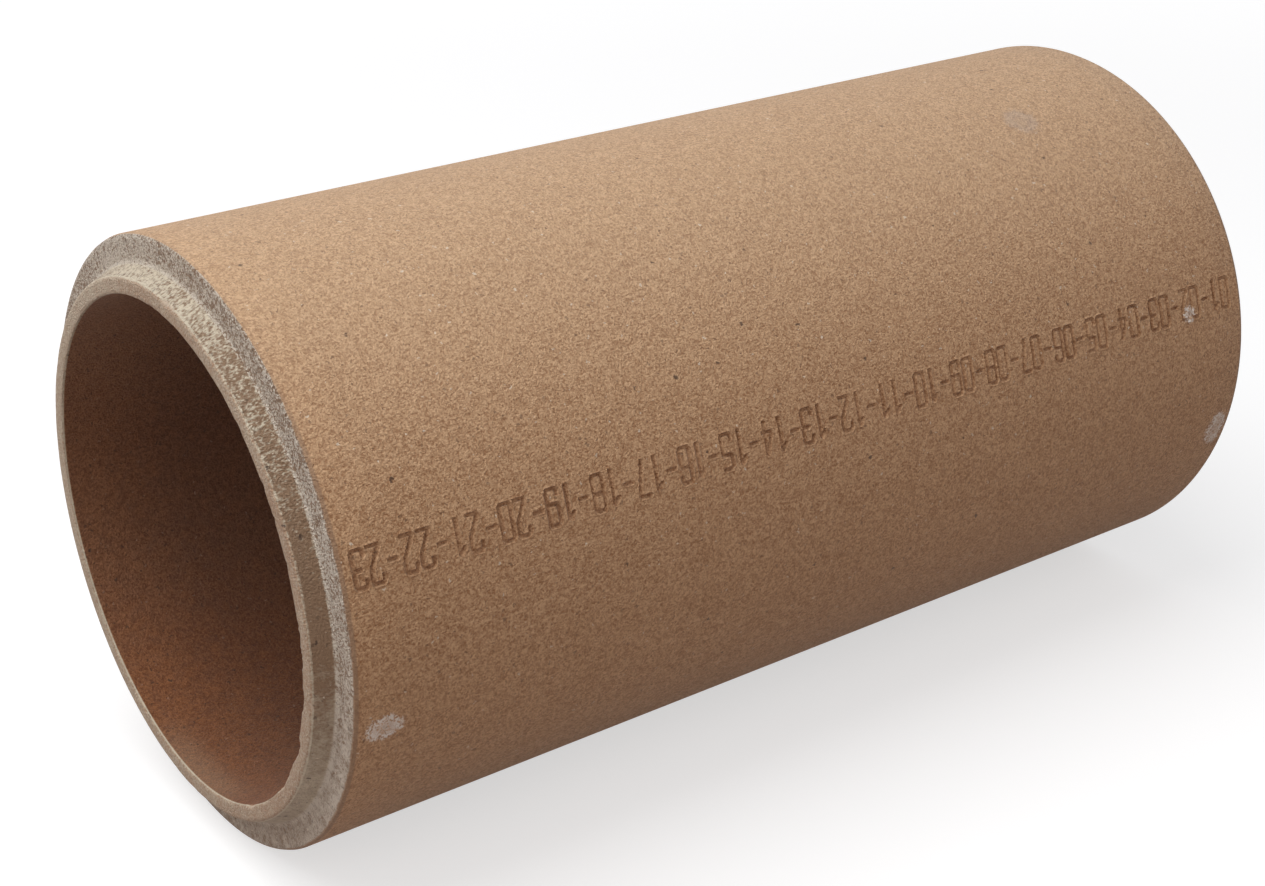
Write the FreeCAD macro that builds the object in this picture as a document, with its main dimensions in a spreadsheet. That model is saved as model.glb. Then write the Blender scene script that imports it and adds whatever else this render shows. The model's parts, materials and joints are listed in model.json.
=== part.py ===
# Round chimney flue liner of fired chamotte, pressed and burnt as one piece.
# It lies on the floor along X, with its spigot at the low end and its socket at the high end.
# X = 0 is half way along it, and Z = 0 is the floor under it.
import FreeCAD, Part
import os

import Sketcher

NODE = "flue_liner"
SHEET = "Dimensions"
MATCH_MM = 1e-4

# Name, size in millimetres, meaning.
SIZES = [
    ("bore_radius", 70.0, "half the width of the flue"),
    ("wall", 15.0, "thickness of the fired wall"),
    ("overall_length", 330.0, "from the face of the spigot to the lip of the socket"),
    ("spigot_height", 6.0, "how far the spigot stands out of the shoulder"),
    ("spigot_land", 4.5, "width of the flat ring on the face of the spigot"),
    ("spigot_taper", 2.5, "how much the spigot widens on its way to the shoulder"),
    ("joint_clearance", 1.5, "room for mortar between spigot and socket, on the radius"),
    ("floor_clearance", 0.5, "how much deeper the socket is than the spigot is high"),
    ("barrel_round", 1.2, "rounding of the outer rims at shoulder and lip"),
    ("arris_break", 0.6, "bevel on the rims of bore, spigot and socket mouth"),
    ("root_round", 0.8, "rounding in the hollow corners of spigot and socket"),
]

# The corners of the wall's section, in order round it.
CORNERS = [
    "bore_front",
    "spigot_rim",
    "spigot_root",
    "shoulder_rim",
    "lip_rim",
    "socket_mouth",
    "socket_corner",
    "bore_back",
]

# The section's straight runs, each named by the corner that it starts from.
FLAT_RINGS = ["bore_front", "spigot_root", "lip_rim", "socket_corner"]
ROUND_WALLS = ["shoulder_rim", "bore_back"]

# Name of the held size, its direction, the corners it runs between, and what it is worked out from.
AXIS_START = "axis_start"
SPANS = [
    ("bore_radius", "DistanceY", AXIS_START, "bore_front", "{bore_radius}"),
    ("spigot_land", "DistanceY", "bore_front", "spigot_rim", "{spigot_land}"),
    ("spigot_taper", "DistanceY", "spigot_rim", "spigot_root", "{spigot_taper}"),
    ("spigot_height", "DistanceX", "spigot_rim", "spigot_root", "{spigot_height}"),
    ("wall", "DistanceY", "bore_front", "shoulder_rim", "{wall}"),
    ("overall_length", "DistanceX", "bore_front", "lip_rim", "{overall_length}"),
    ("mouth_clearance", "DistanceY", "spigot_root", "socket_mouth", "{joint_clearance}"),
    ("corner_clearance", "DistanceY", "spigot_rim", "socket_corner", "{joint_clearance}"),
    ("socket_depth", "DistanceX", "bore_back", "lip_rim", "{spigot_height} + {floor_clearance}"),
]

# Name of the finishing step, its kind, its size, and the corners that it works on.
EDGE_STEPS = [
    ("outer_rims", "Fillet", "Radius", "{barrel_round}", ["shoulder_rim", "lip_rim"]),
    ("hollow_corners", "Fillet", "Radius", "{root_round}", ["spigot_root", "socket_corner"]),
    ("inner_rims", "Chamfer", "Size", "{arris_break}",
     ["bore_front", "spigot_rim", "socket_mouth", "bore_back"]),
]


def make_sheet(doc):
    """The table of sizes that drives everything else."""
    sheet = doc.addObject("Spreadsheet::Sheet", SHEET)
    for row, (name, size, meaning) in enumerate(SIZES, start=1):
        sheet.set(f"A{row}", name)
        sheet.set(f"B{row}", str(size))
        sheet.set(f"C{row}", meaning)
        sheet.setAlias(f"B{row}", name)
    doc.recompute()
    return sheet


def formula(text):
    """A size written with names in braces, as an expression on the sheet's cells."""
    return text.format(**{name: f"{SHEET}.{name}" for name, _, _ in SIZES})


def section_places(sheet):
    """Each corner of the wall's section: X along the axis, Y the radius."""
    spigot_rim = sheet.bore_radius + sheet.spigot_land
    spigot_root = spigot_rim + sheet.spigot_taper
    outside = sheet.bore_radius + sheet.wall
    socket_floor = sheet.overall_length - sheet.spigot_height - sheet.floor_clearance
    return {
        "bore_front": FreeCAD.Vector(0, sheet.bore_radius, 0),
        "spigot_rim": FreeCAD.Vector(0, spigot_rim, 0),
        "spigot_root": FreeCAD.Vector(sheet.spigot_height, spigot_root, 0),
        "shoulder_rim": FreeCAD.Vector(sheet.spigot_height, outside, 0),
        "lip_rim": FreeCAD.Vector(sheet.overall_length, outside, 0),
        "socket_mouth": FreeCAD.Vector(sheet.overall_length, spigot_root + sheet.joint_clearance, 0),
        "socket_corner": FreeCAD.Vector(socket_floor, spigot_rim + sheet.joint_clearance, 0),
        "bore_back": FreeCAD.Vector(socket_floor, sheet.bore_radius, 0),
    }


def sketch_point(corner):
    """The line and end of the sketch that stand for a corner, or for its own origin."""
    if corner == AXIS_START:
        return -1, 1
    return CORNERS.index(corner), 1


def draw_section(doc, body, places):
    """The section of the wall on one side of the axis, fully held by named sizes."""
    section = body.newObject("Sketcher::SketchObject", "wall_section")
    plane = next(item for item in body.Origin.OriginFeatures if item.Role == "XZ_Plane")
    section.AttachmentSupport = (plane, [""])
    section.MapMode = "FlatFace"
    following = CORNERS[1:] + CORNERS[:1]
    for start, end in zip(CORNERS, following):
        section.addGeometry(Part.LineSegment(places[start], places[end]), False)
    for line, corner in enumerate(following):
        section.addConstraint(Sketcher.Constraint("Coincident", line, 2, *sketch_point(corner)))
    for corner in FLAT_RINGS:
        section.addConstraint(Sketcher.Constraint("Vertical", CORNERS.index(corner)))
    for corner in ROUND_WALLS:
        section.addConstraint(Sketcher.Constraint("Horizontal", CORNERS.index(corner)))
    section.addConstraint(Sketcher.Constraint("PointOnObject", *sketch_point("bore_front"), -2))
    for name, direction, start, end, size in SPANS:
        gap = places[end] - places.get(start, FreeCAD.Vector())
        drawn = gap.x if direction == "DistanceX" else gap.y
        points = (*sketch_point(start), *sketch_point(end))
        held = section.addConstraint(Sketcher.Constraint(direction, *points, drawn))
        section.renameConstraint(held, name)
        section.setExpression(f"Constraints.{name}", formula(size))
    doc.recompute()
    return section


def rim_edges(shape, rims):
    """The names of a shape's round edges that lie at the given places of the section."""
    names = []
    for number, edge in enumerate(shape.Edges, start=1):
        if not isinstance(edge.Curve, Part.Circle):
            continue
        place = FreeCAD.Vector(edge.Curve.Center.x, edge.Curve.Radius, 0)
        if any(place.distanceToPoint(rim) < MATCH_MM for rim in rims):
            names.append(f"Edge{number}")
    return names


def make_liner(doc, sheet):
    """The liner: its section turned about the axis, then its rims and corners finished."""
    body = doc.addObject("PartDesign::Body", NODE)
    places = section_places(sheet)
    section = draw_section(doc, body, places)
    last = body.newObject("PartDesign::Revolution", "pressed_wall")
    last.Profile = section
    last.ReferenceAxis = (section, ["H_Axis"])
    last.Angle = 360.0
    doc.recompute()
    for name, kind, size_property, size, corners in EDGE_STEPS:
        edges = rim_edges(last.Shape, [places[corner] for corner in corners])
        if len(edges) != len(corners):
            raise RuntimeError(f"{name}: {len(edges)} of {len(corners)} rims were found")
        step = body.newObject(f"PartDesign::{kind}", name)
        step.Base = (last, edges)
        step.setExpression(size_property, formula(size))
        doc.recompute()
        last = step
    body.setExpression("Placement.Base.x", formula("-{overall_length} / 2"))
    body.setExpression("Placement.Base.z", formula("{bore_radius} + {wall}"))
    doc.recompute()
    return body


def check(doc):
    """Stop if any step of the construction has failed."""
    for item in doc.Objects:
        if "Invalid" in item.State or "Error" in item.State:
            raise RuntimeError(f"{item.Label} is not built: {item.State}")
    for item in doc.findObjects("PartDesign::Feature"):
        if item.Shape.isNull() or not item.Shape.isValid():
            raise RuntimeError(f"{item.Label} has no valid shape")


def main():
    doc = FreeCAD.newDocument("chimney_flue_liner")
    liner = make_liner(doc, make_sheet(doc))
    check(doc)
    os.makedirs("parts", exist_ok=True)
    liner.Shape.exportStep(f"parts/{liner.Label}.step")


main()
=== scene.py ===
import json
import math
from types import SimpleNamespace

import bmesh
import bpy
from bpy.props import FloatProperty, FloatVectorProperty, IntProperty, PointerProperty, StringProperty
from bpy.types import NodeSocket, Operator, Panel, PropertyGroup
from mathutils import Euler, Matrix, Vector, kdtree, noise


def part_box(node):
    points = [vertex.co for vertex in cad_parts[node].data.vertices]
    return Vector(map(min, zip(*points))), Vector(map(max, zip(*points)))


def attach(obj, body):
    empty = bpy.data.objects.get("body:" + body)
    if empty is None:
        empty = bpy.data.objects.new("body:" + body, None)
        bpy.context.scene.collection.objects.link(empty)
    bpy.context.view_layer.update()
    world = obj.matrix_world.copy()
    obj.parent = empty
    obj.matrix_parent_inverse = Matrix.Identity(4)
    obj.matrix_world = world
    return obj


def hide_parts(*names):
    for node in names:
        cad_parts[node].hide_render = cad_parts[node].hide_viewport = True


bl_info = {
    "name": "Chimney flue liner",
    "version": (1, 0, 0),
    "blender": (4, 5, 0),
    "location": "3D View > Sidebar > Flue liner",
    "description": "Models a fired chamotte flue liner with its worn rims and pressed numbers",
    "category": "Add Mesh",
}

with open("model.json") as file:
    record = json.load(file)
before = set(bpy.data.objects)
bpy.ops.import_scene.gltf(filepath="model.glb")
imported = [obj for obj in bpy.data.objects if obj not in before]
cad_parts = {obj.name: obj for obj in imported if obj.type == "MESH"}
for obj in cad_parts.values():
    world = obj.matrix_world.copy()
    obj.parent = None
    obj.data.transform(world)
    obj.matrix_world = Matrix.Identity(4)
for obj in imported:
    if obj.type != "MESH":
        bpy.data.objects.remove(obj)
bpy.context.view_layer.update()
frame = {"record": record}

NODE = "flue_liner"
BODY = "root"
MM = 0.001

MOUNTS = {mount["name"]: mount for mount in frame["record"]["mounts"]}
LOW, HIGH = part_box(NODE)
AXIS_HEIGHT = (LOW.z + HIGH.z) / 2
OUTER_RADIUS = (HIGH.z - LOW.z) / 2
BORE_RADIUS = MOUNTS["flue_bore"]["dims"]["r_mm"] * MM
SHOULDER_X = MOUNTS["spigot_shoulder"]["pos_m"][0]
SPIGOT_HEIGHT = SHOULDER_X - LOW.x
# The spigot's radius at the shoulder, where its dust changes
ROOT_RADIUS = 77 * MM


class LinerSizes(PropertyGroup):
    """Sizes of the liner's wall, rims and pressed numbers."""

    skin_inset: FloatProperty(
        name="Skin inset", description="How far the fired skin stays inside the box of the solid",
        default=0.1 * MM, unit="LENGTH", precision=5)
    face_width: FloatProperty(
        name="Spigot face", description="Width of the flat ring on the spigot",
        default=4.5 * MM, unit="LENGTH", precision=5)
    spigot_taper: FloatProperty(
        name="Spigot taper", description="How much the spigot widens down to the shoulder",
        default=2.5 * MM, unit="LENGTH", precision=5)
    joint_clearance: FloatProperty(
        name="Joint clearance", description="Room for mortar round the spigot, on the radius",
        default=1.5 * MM, unit="LENGTH", precision=5)
    floor_clearance: FloatProperty(
        name="Socket clearance", description="How much deeper the socket is than the spigot is high",
        default=0.5 * MM, unit="LENGTH", precision=5)
    rim_round: FloatProperty(
        name="Outer rims", description="Rounding of the barrel's outer rims",
        default=1.2 * MM, unit="LENGTH", precision=5)
    arris_round: FloatProperty(
        name="Inner rims", description="Rounding of the rims of bore, spigot and socket",
        default=0.6 * MM, unit="LENGTH", precision=5)
    root_round: FloatProperty(
        name="Hollow corners", description="Rounding in the corners of spigot and socket",
        default=0.8 * MM, unit="LENGTH", precision=5)
    steps_round: IntProperty(
        name="Steps round", description="Faces round the liner", default=560, min=60)
    digit_height: FloatProperty(
        name="Digit height", description="Height of the pressed numbers, round the barrel",
        default=9.4 * MM, unit="LENGTH", precision=5)
    digit_pitch: FloatProperty(
        name="Digit pitch", description="Distance from one pressed digit to the next",
        default=4.64 * MM, unit="LENGTH", precision=5)
    stroke: FloatProperty(
        name="Stroke", description="Width of a pressed stroke",
        default=1.05 * MM, unit="LENGTH", precision=5)
    press_depth: FloatProperty(
        name="Pressed depth", description="Depth of the pressed numbers",
        default=0.7 * MM, unit="LENGTH", precision=5)
    row_angle: FloatProperty(
        name="Row of numbers", description="Angle from the top of the barrel down to the row of numbers",
        default=math.radians(72.4), unit="ROTATION")


class LinerColours(PropertyGroup):
    """Colours of the fired clay, as they look in even light."""

    clay_dark: StringProperty(name="Dark clay", description="Darker grain of the barrel", default="#9A6E49")
    clay_pale: StringProperty(name="Pale clay", description="Paler grain of the barrel", default="#D3AB84")
    # Painted shade: the bore's tint is partly a darker skin and partly painted shade inside the flue. The
    # deep tint adds painted shade away from the mouths, and the upper tint is painted light that pales the
    # bore high in the flue.
    bore: StringProperty(name="Bore", description="Tint of the flue's inside skin", default="#B59C8E")
    deep_bore_shade: StringProperty(name="Deep bore", description="The same tint away from the mouths",
                              default="#97817A")
    upper_bore_painted_light: StringProperty(name="Upper bore", description="The same tint high in the flue",
                               default="#EEE4E0")
    lower_bore: StringProperty(name="Lower bore", description="Warmer tint on the floor of the flue",
                               default="#FFF0D8")
    face_clay: StringProperty(name="Face clay", description="Bare clay of the spigot's face",
                              default="#AF9076")
    end_clay: StringProperty(name="End clay", description="Bare clay of the other end surfaces",
                             default="#826A54")
    dust: StringProperty(name="Dust", description="Pale clay dust on the ends", default="#D6CAB4")
    shoulder_dust: StringProperty(name="Shoulder dust", description="Greyer dust on the shoulder",
                                  default="#D5CABB")
    # Painted highlight: this film is dust, and on top of the barrel it also paints the light's highlight.
    dust_and_highlight: StringProperty(name="Settled dust", description="Thin film on what faces up",
                            default="#E0D0B2")
    # Painted shade: the rounding of the barrel's outer rims is darker, most low down.
    rim: StringProperty(name="Outer rim", description="Rubbed outer rims of the barrel", default="#94775F")
    broken: StringProperty(name="Broken clay", description="Clay inside a broken rim", default="#C4A78F")
    # Painted shade: open pores are dark only from the shade in them; iron spots are the clay's own colour.
    pit: StringProperty(name="Pit", description="Open pores and iron spots", default="#3E2A1E")
    speck: StringProperty(name="Speck", description="Pale grog specks", default="#E6D8C4")
    scuff: StringProperty(name="Scuff", description="Smears of dried mortar", default="#F0E6DC")
    smudge: StringProperty(name="Smudge", description="Bluish rubbed mark", default="#A9A3A0")


class LinerView(PropertyGroup):
    """Where the camera stands and how bright the studio is."""

    place: FloatVectorProperty(
        name="Camera", description="Place of the camera", default=(-0.3733, -0.4849, 0.3516),
        subtype="TRANSLATION", unit="LENGTH", precision=4)
    azimuth: FloatProperty(
        name="Azimuth", description="Which way the camera looks, clockwise from +Y",
        default=math.radians(36.6), unit="ROTATION")
    elevation: FloatProperty(
        name="Elevation", description="How far the camera looks down", default=math.radians(24.55),
        unit="ROTATION")
    lens: FloatProperty(
        name="Lens", description="Focal length in millimetres", default=62.09, unit="CAMERA")
    key_power: FloatProperty(
        name="Key lamp", description="Power of the overhead softbox", default=11, unit="POWER")
    ambient: FloatProperty(
        name="Ambient", description="Strength of the light from all round", default=0.44)
    fill_power: FloatProperty(
        name="Fill lamp", description="Power of the softbox beside the camera", default=2.5, unit="POWER")


def polar(point):
    """A point as its place along the liner, its angle from the top towards -Y, and its radius."""
    height = point.z - AXIS_HEIGHT
    return point.x, math.atan2(-point.y, height), math.hypot(point.y, height)


def on_liner(x, angle, radius):
    """The point at that place along the liner, angle and radius."""
    return Vector((x, -radius * math.sin(angle), AXIS_HEIGHT + radius * math.cos(angle)))


def smooth(value):
    """A value eased from 0 at 0 and below to 1 at 1 and above."""
    value = min(max(value, 0), 1)
    return value * value * (3 - 2 * value)


# The wall

# Length of wall behind the spigot's face that can be worn
WEAR_REACH = 5 * MM
# Widths of the rows of faces round the spigot, in the socket, and along barrel and bore
RIM_ROWS = 0.6 * MM
SOCKET_ROWS = 2.2 * MM
LONG_ROWS = 13.5 * MM
ROUNDING_STEPS = 2
WELD_DISTANCE = 0.001 * MM
SHARP_ANGLE = math.radians(35)


def section_corners(sizes):
    """The corners of the wall's section in order: place along the axis, radius and rounding."""
    face_radius = BORE_RADIUS + sizes.face_width
    root_radius = face_radius + sizes.spigot_taper
    outer_radius = OUTER_RADIUS - sizes.skin_inset
    socket_x = HIGH.x - SPIGOT_HEIGHT - sizes.floor_clearance
    return [
        (LOW.x, BORE_RADIUS, sizes.arris_round),
        (LOW.x, face_radius, sizes.arris_round),
        (SHOULDER_X, root_radius, sizes.root_round),
        (SHOULDER_X, outer_radius, sizes.rim_round),
        (HIGH.x, outer_radius, sizes.rim_round),
        (HIGH.x, root_radius + sizes.joint_clearance, sizes.arris_round),
        (socket_x, face_radius + sizes.joint_clearance, sizes.root_round),
        (socket_x, BORE_RADIUS, sizes.arris_round),
        (LOW.x + WEAR_REACH, BORE_RADIUS, 0),
    ]


def row_width(edge):
    """How wide a row of faces is along this stretch of the section."""
    middle = (edge.verts[0].co + edge.verts[1].co) / 2
    if middle.x < SHOULDER_X + 0.1 * MM:
        return RIM_ROWS
    if edge.calc_length() > 2 * WEAR_REACH:
        return LONG_ROWS
    return SOCKET_ROWS


def spun_wall(sizes):
    """The plain wall: its section with rounded corners, turned about the liner's axis."""
    bm = bmesh.new()
    section = section_corners(sizes)
    corners = [bm.verts.new((x, 0, AXIS_HEIGHT + radius)) for x, radius, _ in section]
    for pair in zip(corners, corners[1:] + corners[:1]):
        bm.edges.new(pair)
    for corner, (_, _, rounding) in zip(corners, section):
        if rounding:
            bmesh.ops.bevel(bm, geom=[corner], offset=rounding, offset_type="OFFSET",
                            segments=ROUNDING_STEPS, profile=0.5, affect="VERTICES", material=-1)
    for edge in bm.edges[:]:
        cuts = round(edge.calc_length() / row_width(edge)) - 1
        if cuts > 0:
            bmesh.ops.subdivide_edges(bm, edges=[edge], cuts=cuts)
    bmesh.ops.spin(bm, geom=bm.verts[:] + bm.edges[:], cent=(0, 0, AXIS_HEIGHT), axis=(1, 0, 0),
                   angle=math.tau, steps=sizes.steps_round, use_merge=True)
    bmesh.ops.remove_doubles(bm, verts=bm.verts, dist=WELD_DISTANCE)
    bmesh.ops.recalc_face_normals(bm, faces=bm.faces)
    return bm


# The row of pressed numbers

# The strokes of each digit on a grid two wide and four high
DIGIT_GRID = 2.0, 4.0
DIGIT_STROKES = {
    "0": [[(1, 4), (2, 4), (2, 0), (0, 0), (0, 4), (1, 4)]],
    "1": [[(0.3, 3.1), (1.2, 4), (1.2, 0)]],
    "2": [[(0, 3.2), (0, 4), (2, 4), (2, 2.5), (0, 0), (2, 0)]],
    "3": [[(0, 3.3), (0, 4), (2, 4), (2, 2.1), (0.8, 2.1)],
          [(1, 2.1), (2, 2.1), (2, 0), (0, 0), (0, 0.7)]],
    "4": [[(1.5, 0), (1.5, 4), (0, 1.2), (2, 1.2)]],
    "5": [[(1.9, 4), (0.1, 4), (0.1, 2.4), (2, 2.4), (2, 0), (0, 0), (0, 0.7)]],
    "6": [[(2, 3.3), (2, 4), (0, 4), (0, 0), (2, 0), (2, 2.3), (0, 2.3)]],
    "7": [[(0, 4), (2, 4), (0.8, 0)]],
    "8": [[(1, 2.1), (2, 2.1), (2, 4), (0, 4), (0, 2.1), (2, 2.1), (2, 0), (0, 0), (0, 2.1), (1, 2.1)]],
    "9": [[(0, 0.7), (0, 0), (2, 0), (2, 4), (0, 4), (0, 1.7), (2, 1.7)]],
    "-": [[(0.3, 2), (1.7, 2)]],
}
CORNER_CUT = 0.3
DIGIT_WIDTH_SHARE = 0.68
# The row starts near the socket and runs towards the spigot
ROW_START = 159 * MM
ROW_LENGTH = 316 * MM
FINE_STEP = 0.4 * MM
POINT_STEP = 0.12 * MM
# The slope of a stroke's wall: how far outside the stroke it starts, and its width
GROOVE_EDGE = 0.15 * MM
GROOVE_SLOPE = 0.4 * MM
LIP_REACH = 0.55 * MM
LIP_HEIGHT = 0.17 * MM
LIP_RISE = 0.2 * MM
LIP_FALL = 0.3 * MM
# The stamp's force along the row: its middle, its swing, and the length that it changes over
FORCE_MIDDLE = 0.9
FORCE_SWING = 0.35
FORCE_LENGTH = 9 * MM


def row_text(sizes):
    """Plain counting numbers with a dash after each, as many as the row holds."""
    room = int(ROW_LENGTH / sizes.digit_pitch)
    text = "".join(f"{number:02d}-" for number in range(1, 100))
    return text[:room].rstrip("-")


def cut_corners(stroke):
    """A stroke with each of its corners replaced by a short slant, so that it reads as rounded."""
    softened = [Vector(stroke[0])]
    for before, corner, after in zip(stroke, stroke[1:], stroke[2:]):
        corner = Vector(corner)
        for end in (Vector(before), Vector(after)):
            reach = min(CORNER_CUT, (end - corner).length / 2)
            softened.append(corner + (end - corner).normalized() * reach)
    softened.append(Vector(stroke[-1]))
    return softened


def stroke_points(sizes):
    """Points along every pressed stroke: along the liner, and the way round it from the row's middle."""
    width = sizes.digit_pitch * DIGIT_WIDTH_SHARE / DIGIT_GRID[0]
    height = sizes.digit_height / DIGIT_GRID[1]
    for place, digit in enumerate(row_text(sizes)):
        first = ROW_START - place * sizes.digit_pitch
        for stroke in DIGIT_STROKES[digit]:
            spots = [Vector((first - spot.x * width, (spot.y - DIGIT_GRID[1] / 2) * height))
                     for spot in cut_corners(stroke)]
            for start, end in zip(spots, spots[1:]):
                steps = max(1, math.ceil((end - start).length / POINT_STEP))
                for step in range(steps + 1):
                    yield start.lerp(end, step / steps)


def number_row_faces(bm, sizes):
    """The faces of the barrel under the row of numbers, with a margin round it."""
    half = (sizes.digit_height / 2 + sizes.stroke + LIP_REACH) / OUTER_RADIUS
    found = []
    for face in bm.faces:
        _, angle, radius = polar(face.calc_center_median())
        if abs(angle - sizes.row_angle) < half and radius > OUTER_RADIUS - 3 * sizes.skin_inset:
            found.append(face)
    return found


def runs_along(edge):
    """Whether an edge lies along the liner and not round it."""
    return abs(edge.verts[0].co.x - edge.verts[1].co.x) > 0.5 * edge.calc_length()


def refine_number_row(bm, sizes):
    """Cuts the faces under the row of numbers finely enough to press strokes into them."""
    for along in (True, False):
        bm.edges.index_update()
        edges = {edge for face in number_row_faces(bm, sizes) for edge in face.edges}
        edges = sorted((edge for edge in edges if runs_along(edge) == along), key=lambda edge: edge.index)
        longest = max(edge.calc_length() for edge in edges)
        bmesh.ops.subdivide_edges(bm, edges=edges, cuts=math.ceil(longest / FINE_STEP) - 1)


def press_numbers(bm, sizes):
    """Presses the strokes into the barrel and raises a slight lip of clay beside them."""
    points = list(stroke_points(sizes))
    tree = kdtree.KDTree(len(points))
    for index, point in enumerate(points):
        tree.insert((point.x, point.y, 0), index)
    tree.balance()
    pressed = bm.verts.layers.float.new("pressed")
    half = sizes.stroke / 2
    row = {vert for face in number_row_faces(bm, sizes) for vert in face.verts}
    for vert in row:
        x, angle, radius = polar(vert.co)
        round_way = (angle - sizes.row_angle) * OUTER_RADIUS
        _, _, gap = tree.find((x, round_way, 0))
        force = FORCE_MIDDLE + FORCE_SWING * noise.noise(Vector((x / FORCE_LENGTH, 0.3, 7.1)))
        groove = smooth((half + GROOVE_EDGE - gap) / GROOVE_SLOPE)
        lip = smooth((gap - half) / LIP_RISE) * smooth((half + LIP_REACH - gap) / LIP_FALL)
        vert[pressed] = groove * force
        vert.co = on_liner(x, angle, radius - groove * force * sizes.press_depth + lip * LIP_HEIGHT)


# Worn rims of the spigot

# Angle from the top in degrees, and how deep the rim is broken there in millimetres
RIM_DAMAGE = {
    "bore": [(-180, 0.4), (-60, 0.25), (0, 0.3), (40, 0.7), (55, 1.4), (74, 1.2), (80, 1.7), (90, 1.9),
             (100, 1.5), (110, 1.8), (125, 1.2), (140, 0.8), (150, 1.0), (165, 0.5), (180, 0.4)],
    "face": [(-180, 0.3), (-60, 0.2), (-12, 0.5), (-8, 1.4), (4, 1.3), (12, 0.6), (18, 1.0), (30, 0.4),
             (80, 0.4), (88, 0.9), (112, 0.5), (119, 1.4), (126, 0.5), (145, 0.6), (150, 1.4), (158, 0.5),
             (180, 0.3)],
}
BASE_WEAR = 0.3 * MM
# Lengths of the chips round the rim, and how much each length counts
CHIP_LENGTHS = 9 * MM, 3.2 * MM, 1.2 * MM
CHIP_SHARES = 1.0, 0.6, 0.3
CHIP_BIAS = 0.15
BREAK_MARGIN = 0.2 * MM
BREAK_FADE = 0.5 * MM


def at_angle(table, angle):
    """The table's value at that angle, straight between its rows."""
    degrees = math.degrees(angle)
    for (start, low), (end, high) in zip(table, table[1:]):
        if start <= degrees <= end:
            return low + (high - low) * (degrees - start) / (end - start)
    return table[-1][1]


def rim_wear(name, angle, radius):
    """How far a rim is broken back at that angle."""
    way = angle * radius
    ragged = 0
    for share, length in zip(CHIP_SHARES, CHIP_LENGTHS):
        ragged += share * noise.noise(Vector((way / length, radius / MM, 3.1)))
    return BASE_WEAR + at_angle(RIM_DAMAGE[name], angle) * MM * max(0, ragged + CHIP_BIAS)


def break_rims(bm, sizes):
    """Breaks small chips out of the two rims of the spigot."""
    broken = bm.verts.layers.float.new("broken")
    rims = {"bore": (BORE_RADIUS, 1), "face": (BORE_RADIUS + sizes.face_width, -1)}
    for vert in bm.verts:
        if vert.co.x > LOW.x + WEAR_REACH:
            continue
        for name, (rim_radius, inward) in rims.items():
            x, angle, radius = polar(vert.co)
            depth = x - LOW.x
            across = (radius - rim_radius) * inward
            if name == "face":
                across += depth * sizes.spigot_taper / SPIGOT_HEIGHT
            if across < -BREAK_MARGIN or depth + across > WEAR_REACH:
                continue
            missing = rim_wear(name, angle, rim_radius) - (depth + across)
            if missing > 0:
                vert.co = on_liner(x + missing / 2, angle, radius + inward * missing / 2)
                vert[broken] = max(vert[broken], smooth(missing / BREAK_FADE))


# Dust on the two ends

# Angle from the top in degrees, and the share of the clay that pale dust covers. Below nought even the
# palest flecks are weak. From about 105 to 150 degrees the shares are raised partly as painted light
# on the ends low down.
DUST = {
    "face": [(-180, 0.3), (-90, 0.5), (-30, 0.6), (0, 0.26), (20, 0.3), (45, 0.34), (60, 0.1), (90, 0.3),
             (120, 0.28), (135, 0.1), (150, 0.25), (180, 0.3)],
    "flank": [(-180, 0.6), (-90, 0.6), (-30, 0.45), (-15, 0.78), (0, 0.75), (15, 0.58), (30, 0.14),
              (45, 0.12), (60, -0.12), (75, -0.28), (90, -0.05), (105, 0.3), (120, 0.62), (150, 0.66),
              (180, 0.5)],
    "shoulder": [(-180, 0.5), (-45, 0.5), (-30, 1), (-15, 0.92), (0, 0.62), (15, 0.46), (30, 0.45),
                 (45, 0.5), (60, 0.62), (75, 0.74), (90, 0.5), (105, 0.55), (120, 0.7), (135, 0.6),
                 (150, 0.46), (180, 0.5)],
}
# Length of wall at each end that holds dust
END_DEPTH = 8 * MM


def dust_ends(bm):
    """Marks how much dust lies on face, flank and shoulder, as the three parts of one colour; low down it
    is partly painted light.
    """
    dust = bm.verts.layers.float_color.new("dust")
    for vert in bm.verts:
        x, angle, _ = polar(vert.co)
        if x < LOW.x + END_DEPTH or x > HIGH.x - END_DEPTH:
            vert[dust] = *(at_angle(DUST[zone], angle) for zone in ("face", "flank", "shoulder")), 1


# Materials

# Settings that many nodes share. A Mix node takes its share in socket 0, two numbers in 2 and 3, and
# two colours in 6 and 7.
LAID = {"out": 2, "data_type": "RGBA"}
EASED = {"interpolation_type": "SMOOTHSTEP"}
# Place of the spigot's face along the liner, and radii, in mm
FACE_MM, BORE_MM, ROOT_MM, OUTER_MM = LOW.x / MM, BORE_RADIUS / MM, ROOT_RADIUS / MM, OUTER_RADIUS / MM

# Sizes of the patterns in mm. Grain and grog are a little coarser than real, so that they show.
DRIFT_SIZE = 45
MOTTLE_SIZE = 3.5
GRAIN_SIZE = 0.6
GROG_SIZE = 0.65
DASH_SIZE = 0.75
CURL_SIZE = 1.4
# How far the ragged edges of spots reach in mm, and how fine they are
RAGGED_REACH = 1.3
RAGGED_SIZE = 0.8
RAGGED_MIDDLE = Vector((RAGGED_REACH / 2, RAGGED_REACH / 2, RAGGED_REACH / 2))

# The clay's tone, from dark to pale: weights of drift, mottle and sand, and what comes off their sum
TONE_WEIGHTS = 0.07, 0.03, 1.9
TONE_OFFSET = -0.86
GROG_WEIGHT = 0.4
# How much the mottles change the painted shade deep in the bore, and the share of the painted light that
# pales its tint high in the flue
BORE_MOTTLE = -0.9
UPPER_BORE_LIGHT_SHARE = 0.42
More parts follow.
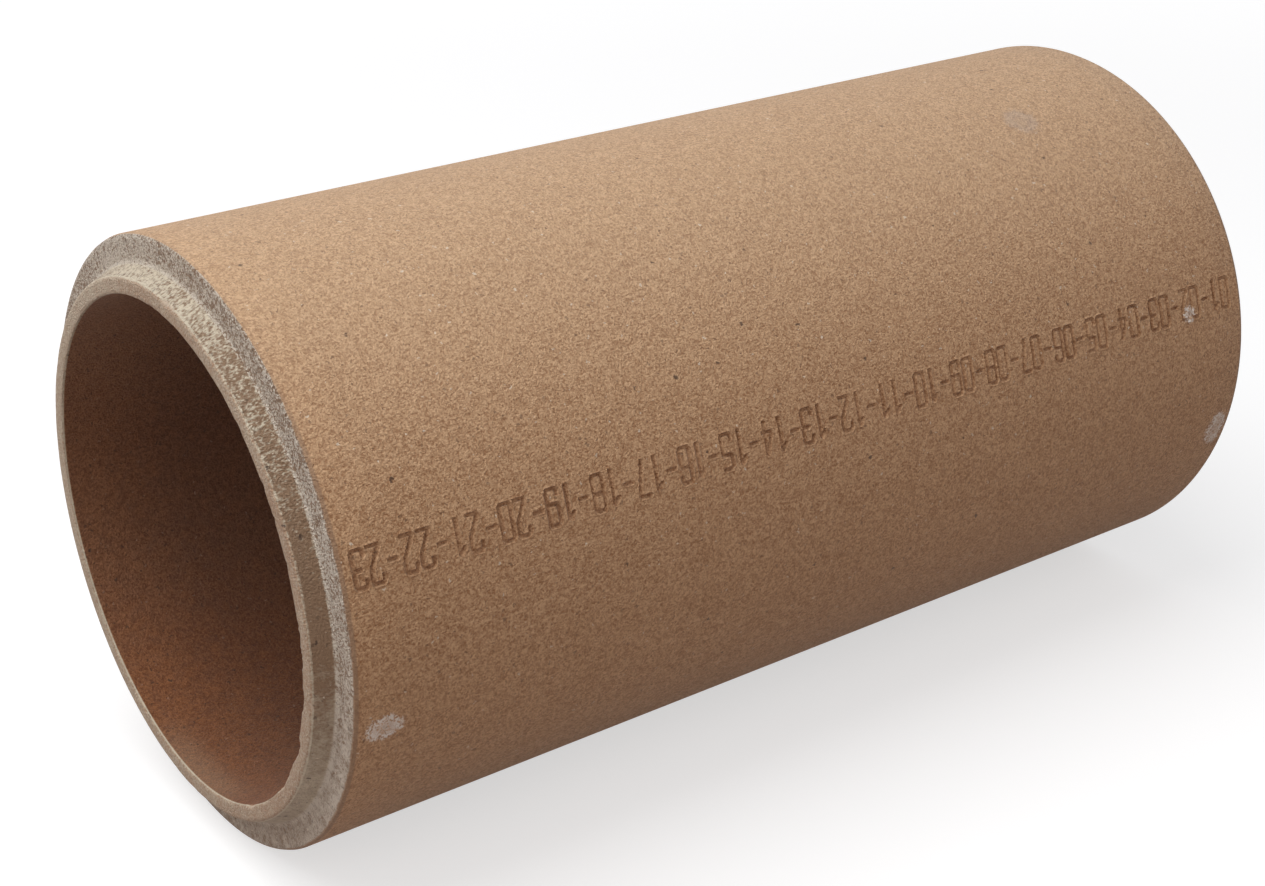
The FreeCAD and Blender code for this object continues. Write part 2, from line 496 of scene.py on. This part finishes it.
# The film's share on top of the barrel, where it is dust and a painted highlight, and in the bore's
# mouths, where it is dust
TOP_FILM_AND_HIGHLIGHT, MOUTH_FILM = 0.15, 0.12
# Share of painted shade on the barrel's outer rims low down and on top
LOW_RIM_SHADE, TOP_RIM_SHADE = 0.7, 0.15

# Heights in mm above the liner's axis from which and to which a look fades in
UPPER_BORE_LIGHT = 0, 58
LOWER_BORE = -30, -66
MOUTH_FLOOR = -64, -71
BARREL_TOP_HIGHLIGHT = 25, 90
RIM_TOP = 45, 78
FLANK_TOP = 5, 50
SHOULDER_TOP = -30, 25
# Distances in mm from the middle over which painted shade darkens the bore deep in the flue, and where dust
# lies in its mouths
DEEP_BORE_SHADE = -FACE_MM, -FACE_MM - 45
IN_MOUTHS = -FACE_MM - 12, -FACE_MM - 3

# How strongly the flecks of dust show on flank, face and shoulder, and the patches on ends and shoulder
FLECK_WEIGHTS = 3.7, 1.7, 6.5
PATCH_WEIGHTS = 0.8, 1.5
# How crisp the flecks are low down on flank and shoulder, against 1 at the top
LOW_FLANK, LOW_SHOULDER = 0.25, 0.3
# The scale that draws the flecks on the flank out into dashes along the liner
DASH_SCALE = 0.55, 1, 1
# Weights of the dust table, the spigot's root and the rim of its face in what dust covers
COVER_WEIGHTS = 1, 0.3, 0.5
# Share of the barrel's grain that shows in the bare clay of the ends
END_GRAIN = 0.15
# Weights of grain, mottle and curls in the frayed edges of marks
MARK_WEIGHTS = 0.8, 0.6, 0.9

# Spots: how far apart in mm, and for each kind the chance from which it starts, the chance at which it is
# largest, and that size in mm
SPOT_SPACING = 1.6
PORES = 0.35, 1, 0.48
SPECKS = 0.25, 0, 0.42
WIDE_SPACING = 9
LARGE_PORES = 0.3, 1, 0.75
# Share of a spot's size over which its edge fades
SPOT_FADE = 0.25
# How much pores and specks show outside and in the bore
OUTSIDE_PORES, BORE_PORES = 0.55, 0.85
OUTSIDE_SPECKS, BORE_SPECKS = 0.68, 0.12
# Place along the liner in mm, angle in degrees, and for some the radius in mm off the barrel
PITS = [(10.2, 63.5), (22, 110.6), (-43, 35), (-26, 51), (-8.5, 54), (-52, 57), (6.5, 82), (-78, 86.5),
        (98, 41), (106.5, 54.5), (107, 34), (90, 65), (137, 94), (115, 11), (63, 15), (-131.5, -8),
        (-148, 13), (-135, 34), (-139.5, 60), (-129.5, 120), (-48.6, 105), (-162, 65, 75.7),
        (-163, 85, 75.2), (-163, 119, 75.3), (-162.5, 139, 75.4)]
PIT_RADIUS = 0.75
# Marks: place along the liner in mm, angle in degrees, half length and half height in mm
SCUFFS = [(-150.2, 102.2, 4.8, 3.0), (158.9, 104, 3.4, 5.0), (140.5, 74.7, 2.0, 2.4)]
SMUDGES = [(110.9, 23.3, 5.0, 5.0)]
# How far inside its outline a mark begins and is full, and where it is as thin as in its middle and full
# again, in shares of its size
MARK_EDGE = -0.2, 0.25
MARK_MIDDLE = 0.85, 0.45
SCUFF_MIDDLE, SMUDGE_MIDDLE = 0.6, 0.7
# Values of the curls below which mortar is worn thin and above which it is full, and what is left of it
MORTAR_GAPS = 0.4, 0.52
THIN_MORTAR = 0.1

# Height of the grain in units of 0.1 mm, on the fired skin and on the bare ends
RELIEF_UNIT = 0.1 * MM
SKIN_RELIEF, END_RELIEF = 4.4, 9
# How strongly broken rims, rubbed marks, dark spots and pressed strokes are tinted. Dark spots are iron
# spots and painted shade in open pores; the tint in pressed strokes is dirt and painted shade in the
# grooves
BROKEN_SHARE, SMUDGE_SHARE, PIT_SHARE, PRESSED_SHADE = 0.5, 0.25, 0.8, 0.4
# The clay's roughness, from its smoother to its rougher mottles
ROUGHNESS = 0.8, 0.92


def linear(code):
    """An sRGB hex code as the linear colour that a node takes."""
    parts = [int(code[place:place + 2], 16) / 255 for place in (1, 3, 5)]
    return *(part / 12.92 if part <= 0.04045 else ((part + 0.055) / 1.055) ** 2.4 for part in parts), 1


def add(tree, kind, inputs=(), out=0, **settings):
    """Adds a node with its settings, sets or links its inputs, and returns one of its outputs, if any. The
    inputs come in the order of the sockets, or by a socket's name or number."""
    node = tree.nodes.new("ShaderNode" + kind)
    for name, value in settings.items():
        setattr(node, name, value)
    if not isinstance(inputs, dict):
        inputs = dict(enumerate(inputs))
    for name, value in inputs.items():
        if isinstance(value, NodeSocket):
            tree.links.new(value, node.inputs[name])
        else:
            node.inputs[name].default_value = value
    return node.outputs[out] if node.outputs else None


def product(tree, first, *others):
    """Values multiplied together."""
    for other in others:
        first = add(tree, "Math", (first, other), operation="MULTIPLY")
    return first


def weighed(tree, parts, weights):
    """The sum of up to three values, each times its weight."""
    together = add(tree, "CombineXYZ", parts)
    return add(tree, "VectorMath", (together, weights), out="Value", operation="DOT_PRODUCT")


def laid_over(tree, colour, layers):
    """A colour with tints laid over it in order, each by its share."""
    for share, tint in layers:
        colour = add(tree, "Mix", {0: share, 6: colour, 7: linear(tint)}, **LAID)
    return colour


def clay_places(tree):
    """Where a point of the clay is: in millimetres from the liner's axis, and from the middle along it."""
    place = add(tree, "Mapping", {"Vector": add(tree, "TexCoord", out="Object"),
                                  "Location": (0, 0, -AXIS_HEIGHT / MM), "Scale": (1 / MM, 1 / MM, 1 / MM)})
    parts = add(tree, "SeparateXYZ", (place,)).node.outputs
    section = add(tree, "VectorMath", (place, (0, 1, 1)), operation="MULTIPLY")
    shake = add(tree, "TexNoise", {"Vector": place, "Scale": 1 / RAGGED_SIZE, "Detail": 0}, out="Color")
    shake = add(tree, "VectorMath", {0: shake, "Scale": RAGGED_REACH}, operation="SCALE")
    return SimpleNamespace(
        place=place, along=parts["X"], up=parts["Z"],
        radius=add(tree, "VectorMath", (section,), out="Value", operation="LENGTH"),
        from_middle=add(tree, "Math", (parts["X"],), operation="ABSOLUTE"),
        ragged=add(tree, "VectorMath", (place, shake), operation="ADD"))


def clay_noises(tree, at):
    """The patterns that several layers of the clay share."""
    mottle = add(tree, "TexNoise", {"Vector": at.place, "Scale": 1 / MOTTLE_SIZE, "Detail": 1,
                                    "Roughness": 0.55})
    grain = add(tree, "TexNoise", {"Vector": at.place, "Scale": 1 / GRAIN_SIZE, "Detail": 1.5,
                                   "Roughness": 0.6})
    curls = add(tree, "TexNoise", {"Vector": at.place, "Scale": 1 / CURL_SIZE, "Detail": 1,
                                   "Roughness": 0.7, "Distortion": 2})
    return SimpleNamespace(
        mottle=mottle, grain=grain, curls=curls,
        wobble=add(tree, "Math", (mottle, -0.5), operation="ADD"),
        frayed=weighed(tree, (grain, mottle, curls), MARK_WEIGHTS))


def near_rims(tree, at, far, near):
    """One at the barrel's two rims, easing to nought between those distances from them in millimetres."""
    spigot_end = add(tree, "MapRange", (at.along, SHOULDER_X / MM + far, SHOULDER_X / MM + near), **EASED)
    socket_end = add(tree, "MapRange", (at.along, HIGH.x / MM - far, HIGH.x / MM - near), **EASED)
    return add(tree, "Math", (spigot_end, socket_end), operation="MAXIMUM")


def clay_zones(tree, at, noises):
    """Parts of the liner, each one on it and nought off it. They fade over tenths of a millimetre."""
    in_bore = product(tree, add(tree, "MapRange", (at.radius, BORE_MM + 0.5, BORE_MM + 0.2), **EASED),
                      add(tree, "MapRange", (at.along, FACE_MM + 0.5, FACE_MM + 1), **EASED))
    off_bore = add(tree, "Math", (
        add(tree, "MapRange", (at.along, FACE_MM + 0.9, FACE_MM + 0.5), **EASED),
        add(tree, "MapRange", (at.radius, BORE_MM + 0.25, BORE_MM + 0.5), **EASED)), operation="MAXIMUM")
    off_barrel = add(tree, "Math", (
        add(tree, "MapRange", (at.radius, OUTER_MM - 1.4, OUTER_MM - 1.8), **EASED),
        near_rims(tree, at, 0.7, 0.3)), operation="MAXIMUM")
    ragged_face = weighed(tree, (at.along, noises.grain, 0), (1, 0.5, 0))
    on_face = add(tree, "MapRange", (ragged_face, FACE_MM + 0.75, FACE_MM + 0.6), **EASED)
    on_shoulder = add(tree, "MapRange", (at.radius, ROOT_MM - 0.4, ROOT_MM + 0.1), **EASED)
    crisp = add(tree, "Mix", {
        0: on_shoulder,
        2: add(tree, "MapRange", (at.up, *FLANK_TOP, LOW_FLANK, 1), **EASED),
        3: add(tree, "MapRange", (at.up, *SHOULDER_TOP, LOW_SHOULDER, 1), **EASED)})
    return SimpleNamespace(
        in_bore=in_bore, end_ring=product(tree, off_bore, off_barrel), on_face=on_face,
        on_shoulder=on_shoulder, crisp=add(tree, "Math", (crisp, on_face), operation="MAXIMUM"))


def by_zone(tree, zones, flank, face, shoulder):
    """A value of its own for flank, face and shoulder."""
    value = add(tree, "Mix", {0: zones.on_face, 2: flank, 3: face})
    return add(tree, "Mix", {0: zones.on_shoulder, 2: value, 3: shoulder})


def grained_clay(tree, at, noises, colours):
    """Bare clay: sand and grog from dark to pale, with faint mottles and a slow drift."""
    drift = add(tree, "TexNoise", {"Vector": at.place, "Scale": 1 / DRIFT_SIZE, "Detail": 1})
    grog = add(tree, "TexVoronoi", {"Vector": at.ragged, "Scale": 1 / GROG_SIZE}, out="Color")
    sand = weighed(tree, (noises.grain, add(tree, "SeparateColor", (grog,)), 0), (1, GROG_WEIGHT, 0))
    tone = weighed(tree, (drift, noises.mottle, sand), TONE_WEIGHTS)
    tone = add(tree, "Math", (tone, TONE_OFFSET), operation="ADD", use_clamp=True)
    return add(tree, "Mix", {0: tone, 6: linear(colours.clay_dark), 7: linear(colours.clay_pale)}, **LAID)


def bore_skin_and_shade(tree, at, noises, zones, colours, colour):
    """The flue's inside: the same clay under a darker tint that is partly its skin and partly painted
    shade, with more painted shade away from the mouths, painted light high in the flue and a warmer tint on
    its floor.
    """
    # Painted shade deep in the flue, and painted light high in it
    depth = weighed(tree, (add(tree, "MapRange", (at.from_middle, *DEEP_BORE_SHADE), **EASED), noises.wobble, 0),
                    (1, BORE_MOTTLE, 0))
    high = add(tree, "MapRange", (at.up, *UPPER_BORE_LIGHT, 0, UPPER_BORE_LIGHT_SHARE), **EASED)
    low = add(tree, "MapRange", (at.up, *LOWER_BORE), **EASED)
    skin = laid_over(tree, linear(colours.bore), ((depth, colours.deep_bore_shade), (high, colours.upper_bore_painted_light)))
    skin = add(tree, "Mix", {0: low, 6: skin, 7: linear(colours.lower_bore)}, blend_type="MULTIPLY", **LAID)
    return add(tree, "Mix", {0: zones.in_bore, 6: colour, 7: skin}, blend_type="MULTIPLY", **LAID)


def dust_and_top_highlight(tree, at, zones):
    """Where a thin pale film lies: dust on the floor of the bore's two mouths, and on top of the barrel
    dust with a painted highlight.
    """
    in_mouths = product(tree, add(tree, "MapRange", (at.up, *MOUTH_FLOOR), **EASED),
                        add(tree, "MapRange", (at.from_middle, *IN_MOUTHS), **EASED))
    # Painted highlight on top of the barrel, partly dust
    top_film_and_highlight = add(tree, "MapRange", (at.up, *BARREL_TOP_HIGHLIGHT, 0, TOP_FILM_AND_HIGHLIGHT), **EASED)
    return add(tree, "Mix", {0: zones.in_bore, 2: top_film_and_highlight, 3: product(tree, in_mouths, MOUTH_FILM)})


def painted_rim_shade(tree, at):
    """Where painted shade darkens the rounding of the barrel's outer rims, least on top."""
    band = product(tree, add(tree, "MapRange", (at.radius, OUTER_MM - 2, OUTER_MM - 1), **EASED),
                   near_rims(tree, at, 1.6, 1))
    return product(tree, band, add(tree, "MapRange", (at.up, *RIM_TOP, LOW_RIM_SHADE, TOP_RIM_SHADE), **EASED))


def dust_veil(tree, at, noises, zones):
    """How much pale dust hides the ends: smooth on the face, dashed on the flank and curled on the
    shoulder, and thicker in the spigot's root and along its rim."""
    squeezed = add(tree, "VectorMath", (at.place, DASH_SCALE), operation="MULTIPLY")
    dashes = add(tree, "TexNoise", {"Vector": squeezed, "Scale": 1 / DASH_SIZE, "Detail": 1,
                                    "Roughness": 0.7})
    flecks = add(tree, "Mix", {0: zones.on_shoulder, 2: dashes, 3: noises.curls})
    dust = add(tree, "SeparateColor", (add(tree, "Attribute", out="Color", attribute_name="dust"),)).node
    cover = by_zone(tree, zones, dust.outputs["Green"], dust.outputs["Red"], dust.outputs["Blue"])
    root = product(tree, add(tree, "MapRange", (at.radius, ROOT_MM - 0.5, ROOT_MM + 0.1), **EASED),
                   add(tree, "MapRange", (at.radius, ROOT_MM + 1.6, ROOT_MM + 0.4), **EASED))
    arris = product(tree, add(tree, "MapRange", (at.along, FACE_MM + 0.25, FACE_MM + 0.4), **EASED),
                    add(tree, "MapRange", (at.along, FACE_MM + 0.85, FACE_MM + 0.65), **EASED))
    cover = weighed(tree, (cover, root, arris), COVER_WEIGHTS)
    fleck = product(tree, add(tree, "Math", (flecks, -0.5), operation="ADD"),
                    by_zone(tree, zones, *FLECK_WEIGHTS), zones.crisp)
    on_ends, on_shoulder = PATCH_WEIGHTS
    patches = product(tree, noises.wobble, add(tree, "Mix", {0: zones.on_shoulder, 2: on_ends,
                                                             3: on_shoulder}))
    veil = weighed(tree, (fleck, patches, cover), (1, 1, 1))
    return add(tree, "Math", (veil, 0), operation="ADD", use_clamp=True)


def dusty_ends(tree, at, noises, zones, colours, colour):
    """The two ends: bare clay under pale dust, up to a ragged edge inside the barrel's rims."""
    edge = weighed(tree, (at.radius, noises.wobble, add(tree, "MapRange", (at.up, *RIM_TOP), **EASED)),
                   (1, 1, -0.9))
    on_end = product(tree, zones.end_ring,
                     add(tree, "MapRange", (edge, OUTER_MM - 0.5, OUTER_MM - 1.1), **EASED))
    bare = laid_over(tree, linear(colours.end_clay), ((zones.on_face, colours.face_clay),))
    grained = add(tree, "Mix", {0: END_GRAIN, 6: bare, 7: colour}, **LAID)
    powder = laid_over(tree, linear(colours.dust), ((zones.on_shoulder, colours.shoulder_dust),))
    dusty = add(tree, "Mix", {0: dust_veil(tree, at, noises, zones), 6: grained, 7: powder}, **LAID)
    return add(tree, "Mix", {0: on_end, 6: colour, 7: dusty}, **LAID)


def mark_centre(x, degrees, radius=OUTER_MM):
    """A mark's place in millimetres from the liner's axis."""
    angle = math.radians(degrees)
    return Vector((x, -radius * math.sin(angle), radius * math.cos(angle)))


def blots(tree, at, noises, marks, thin_middle):
    """Frayed patches at the marks' places, with that share of their strength in the middle."""
    total = 0
    for x, degrees, half_length, half_height in marks:
        shrink = 1 / half_length, 1 / half_height, 1 / half_height
        offset = add(tree, "VectorMath", (at.place, mark_centre(x, degrees)), operation="SUBTRACT")
        offset = add(tree, "VectorMath", (offset, shrink), operation="MULTIPLY")
        gap = add(tree, "VectorMath", (offset,), out="Value", operation="LENGTH")
        edge = add(tree, "Math", (noises.frayed, gap), operation="SUBTRACT")
        patch = product(tree, add(tree, "MapRange", (edge, *MARK_EDGE), **EASED),
                        add(tree, "MapRange", (edge, *MARK_MIDDLE, thin_middle, 1), **EASED))
        total = add(tree, "Math", (patch, total), operation="MAXIMUM")
    return total


def scattered(tree, at, spacing, *kinds):
    """Small ragged spots at random, about that far apart in millimetres. Each kind gives the spots with a
    chance from its first number, where they are nothing, to its second, where they have its size."""
    distance = add(tree, "TexVoronoi", {"Vector": at.ragged, "Scale": 1 / spacing}, out="Distance")
    chance = add(tree, "SeparateColor", (distance.node.outputs["Color"],))
    spots = []
    for first, last, size in kinds:
        reach = add(tree, "MapRange", (chance, first, last, 0, size / spacing))
        depth = add(tree, "Math", (reach, distance), operation="SUBTRACT")
        spots.append(add(tree, "MapRange", (depth, 0, SPOT_FADE * size / spacing), **EASED))
    return spots


def single_pits(tree, at):
    """The larger pores at their places: one inside them, and nought a little outside."""
    nearest = None
    for mark in PITS:
        gap = add(tree, "VectorMath", (at.ragged, mark_centre(*mark) + RAGGED_MIDDLE), out="Value",
                  operation="DISTANCE")
        nearest = gap if nearest is None else add(tree, "Math", (nearest, gap), operation="MINIMUM")
    return add(tree, "MapRange", (nearest, PIT_RADIUS, 0.5 * PIT_RADIUS), **EASED)


def fired_chamotte(colours):
    """Fireclay with ground grog, pressed and fired: dull and warm, with grain, pores and pale specks."""
    material = bpy.data.materials.new("Fired chamotte")
    material.use_nodes = True
    tree = material.node_tree
    tree.nodes.clear()
    at = clay_places(tree)
    noises = clay_noises(tree, at)
    zones = clay_zones(tree, at, noises)

    # Clay, the bore's tint with its painted shade and light, a pale film of dust with a painted highlight
    # on top, painted shade on the outer rims, and the dusty ends
    colour = grained_clay(tree, at, noises, colours)
    colour = bore_skin_and_shade(tree, at, noises, zones, colours, colour)
    colour = laid_over(tree, colour, ((dust_and_top_highlight(tree, at, zones), colours.dust_and_highlight),
                                      (painted_rim_shade(tree, at), colours.rim)))
    colour = dusty_ends(tree, at, noises, zones, colours, colour)

    # Clean clay in broken rims, dried mortar, a rubbed mark, pale grog, iron spots, and painted shade in
    # open pores
    broken = add(tree, "Attribute", out="Fac", attribute_name="broken")
    thin_mortar = add(tree, "MapRange", (noises.curls, *MORTAR_GAPS, THIN_MORTAR, 1), **EASED)
    mortar = product(tree, blots(tree, at, noises, SCUFFS, SCUFF_MIDDLE), thin_mortar)
    rubbed = blots(tree, at, noises, SMUDGES, SMUDGE_MIDDLE)
    pores, specks = scattered(tree, at, SPOT_SPACING, PORES, SPECKS)
    (large_pores,) = scattered(tree, at, WIDE_SPACING, LARGE_PORES)
    pores = product(tree, pores, add(tree, "Mix", {0: zones.in_bore, 2: OUTSIDE_PORES, 3: BORE_PORES}))
    specks = product(tree, specks, add(tree, "Mix", {0: zones.in_bore, 2: OUTSIDE_SPECKS, 3: BORE_SPECKS}))
    # Painted shade in open pores, with iron spots
    dark = add(tree, "Math", (pores, large_pores), operation="MAXIMUM")
    dark = add(tree, "Math", (dark, single_pits(tree, at)), operation="MAXIMUM")
    colour = laid_over(tree, colour, ((product(tree, broken, BROKEN_SHARE), colours.broken),
                                      (mortar, colours.scuff),
                                      (product(tree, rubbed, SMUDGE_SHARE), colours.smudge),
                                      (specks, colours.speck),
                                      (product(tree, dark, PIT_SHARE), colours.pit)))

    # Pressed strokes are a little darker: dirt and painted shade in the grooves
    pressed = add(tree, "Attribute", out="Fac", attribute_name="pressed")
    colour = add(tree, "Mix", {0: product(tree, pressed, PRESSED_SHADE), 6: colour,
                               7: linear(colours.clay_dark)}, blend_type="MULTIPLY", **LAID)

    # Sandy relief, rougher on the bare ends
    rough = add(tree, "Mix", {0: product(tree, zones.end_ring, zones.crisp), 2: SKIN_RELIEF, 3: END_RELIEF})
    relief = product(tree, add(tree, "Math", (noises.grain, -0.5), operation="ADD"), rough)
    bump = add(tree, "Bump", {"Strength": 1, "Distance": RELIEF_UNIT, "Height": relief}, out="Normal")
    dull = add(tree, "MapRange", (noises.mottle, 0.3, 0.7, *ROUGHNESS), **EASED)
    shader = add(tree, "BsdfPrincipled", {"Base Color": colour, "Roughness": dull, "Normal": bump,
                                          "IOR": 1.5, "Sheen Weight": 0.12, "Sheen Roughness": 0.5})
    add(tree, "OutputMaterial", (shader,))
    return material


# Stage

FLOOR_SIZE = 40
FLOOR_WHITE = "#FFFFFF"
# How much the floor glows round the liner and far off, where the softboxes don't reach, and the distances
FLOOR_GLOW = 0.6
FAR_GLOW = 0.8
GLOW_REACH = 0.5, 1.6
FLOOR_SHADE = 0.52
FLOOR_UNSEEN = "#90807A"
# Light from above and from the sides
SKY_TINT = "#F6F9FF"
ROOM_TINT = "#F6DFCC"
SKY_HEIGHT = 0.7
SENSOR = 36
CLIP_START = 0.01
SOFTBOXES = {
    "Overhead softbox": {"place": (-0.5, 0.15, 1.25), "size": 1.1, "power": "key_power"},
    "Side softbox": {"place": (-0.95, -0.75, 0.75), "size": 0.7, "power": "fill_power"},
}


def seen_directly(tree):
    """One where the eye sees it straight, in a gloss or through glass, and nought for other light."""
    seen = add(tree, "LightPath", out="Is Camera Ray")
    rays = seen.node.outputs
    for other in ("Is Glossy Ray", "Is Transmission Ray"):
        seen = add(tree, "Math", (seen, rays[other]), operation="MAXIMUM")
    return seen


def make_floor():
    """The plain pale floor: white to the eye with a soft shadow, and darker in the light it throws back."""
    material = bpy.data.materials.new("Pale floor")
    material.use_nodes = True
    tree = material.node_tree
    tree.nodes.clear()
    shaded = [channel * FLOOR_SHADE for channel in linear(FLOOR_WHITE)[:3]] + [1]
    away = add(tree, "VectorMath", (add(tree, "TexCoord", out="Object"),), out="Value", operation="LENGTH")
    strength = add(tree, "MapRange", (away, *GLOW_REACH, FLOOR_GLOW, FAR_GLOW), **EASED)
    glow = add(tree, "Emission", {"Color": linear(FLOOR_WHITE), "Strength": strength})
    pale = add(tree, "AddShader", (add(tree, "BsdfDiffuse", {"Color": shaded}), glow))
    plain = add(tree, "BsdfDiffuse", {"Color": linear(FLOOR_UNSEEN)})
    add(tree, "OutputMaterial", (add(tree, "MixShader", (seen_directly(tree), plain, pale)),))
    bm = bmesh.new()
    bmesh.ops.create_grid(bm, x_segments=1, y_segments=1, size=FLOOR_SIZE / 2)
    mesh = bpy.data.meshes.new("floor")
    bm.to_mesh(mesh)
    bm.free()
    mesh.materials.append(material)
    floor = bpy.data.objects.new("floor", mesh)
    bpy.context.collection.objects.link(floor)


def light_scene(view):
    """Even light from all round, white behind the liner, and two large softboxes."""
    world = bpy.data.worlds.new("Studio")
    world.use_nodes = True
    tree = world.node_tree
    tree.nodes.clear()
    up = add(tree, "SeparateXYZ", (add(tree, "TexCoord", out="Generated"),), out="Z")
    high = add(tree, "MapRange", (up, 0, SKY_HEIGHT), **EASED)
    tint = laid_over(tree, linear(ROOM_TINT), ((high, SKY_TINT),))
    even = add(tree, "Background", {"Color": tint, "Strength": view.ambient})
    white = add(tree, "Background", {"Color": linear(FLOOR_WHITE), "Strength": 1})
    add(tree, "OutputWorld", (add(tree, "MixShader", (seen_directly(tree), even, white)),))
    bpy.context.scene.world = world
    for name, softbox in SOFTBOXES.items():
        lamp = bpy.data.lights.new(name, "AREA")
        lamp.size = softbox["size"]
        lamp.energy = getattr(view, softbox["power"])
        lit = bpy.data.objects.new(name, lamp)
        lit.location = softbox["place"]
        aim = Vector((0, 0, AXIS_HEIGHT)) - lit.location
        lit.rotation_euler = aim.to_track_quat("-Z", "Y").to_euler()
        bpy.context.collection.objects.link(lit)


def place_camera(view):
    """The camera at the viewing angle of the picture."""
    lens = bpy.data.cameras.new("Camera")
    lens.lens = view.lens
    lens.sensor_width = SENSOR
    lens.clip_start = CLIP_START
    camera = bpy.data.objects.new("Camera", lens)
    camera.location = view.place
    camera.rotation_euler = Euler((math.pi / 2 - view.elevation, 0, -view.azimuth))
    bpy.context.collection.objects.link(camera)
    bpy.context.scene.camera = camera


# Operators and panel

class MESH_OT_flue_liner(Operator):
    """Model the liner with its worn rims and pressed numbers"""

    bl_idname = "mesh.flue_liner"
    bl_label = "Flue liner"
    bl_options = {"REGISTER", "UNDO"}

    def execute(self, context):
        sizes = context.scene.liner_sizes
        bm = spun_wall(sizes)
        refine_number_row(bm, sizes)
        press_numbers(bm, sizes)
        break_rims(bm, sizes)
        dust_ends(bm)
        for face in bm.faces:
            face.smooth = True
        mesh = bpy.data.meshes.new("liner")
        bm.to_mesh(mesh)
        bm.free()
        mesh.set_sharp_from_angle(angle=SHARP_ANGLE)
        mesh.materials.append(fired_chamotte(context.scene.liner_colours))
        liner = bpy.data.objects.new("liner", mesh)
        context.collection.objects.link(liner)
        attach(liner, BODY)
        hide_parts(NODE)
        return {"FINISHED"}


class SCENE_OT_liner_stage(Operator):
    """Set up the floor, the light and the camera"""

    bl_idname = "scene.liner_stage"
    bl_label = "Stage"
    bl_options = {"REGISTER", "UNDO"}

    def execute(self, context):
        make_floor()
        light_scene(context.scene.liner_view)
        place_camera(context.scene.liner_view)
        context.scene.view_settings.view_transform = "Standard"
        return {"FINISHED"}


class VIEW3D_PT_flue_liner(Panel):
    """Sizes, colours and view of the liner, with the buttons that build them"""

    bl_label = "Flue liner"
    bl_space_type = "VIEW_3D"
    bl_region_type = "UI"
    bl_category = "Flue liner"

    def draw(self, context):
        for group, operator in (("liner_sizes", MESH_OT_flue_liner), ("liner_colours", None),
                                ("liner_view", SCENE_OT_liner_stage)):
            settings = getattr(context.scene, group)
            box = self.layout.box()
            for name in settings.__annotations__:
                box.prop(settings, name)
            if operator:
                box.operator(operator.bl_idname)


CLASSES = (LinerSizes, LinerColours, LinerView, MESH_OT_flue_liner, SCENE_OT_liner_stage,
           VIEW3D_PT_flue_liner)
GROUPS = {"liner_sizes": LinerSizes, "liner_colours": LinerColours, "liner_view": LinerView}


def register():
    for cls in CLASSES:
        bpy.utils.register_class(cls)
    for name, group in GROUPS.items():
        setattr(bpy.types.Scene, name, PointerProperty(type=group))


def unregister():
    for name in GROUPS:
        delattr(bpy.types.Scene, name)
    for cls in reversed(CLASSES):
        bpy.utils.unregister_class(cls)


def main():
    """Builds the liner and its stage."""
    register()
    bpy.ops.mesh.flue_liner()
    bpy.ops.scene.liner_stage()


if __name__ == "__main__":
    main()
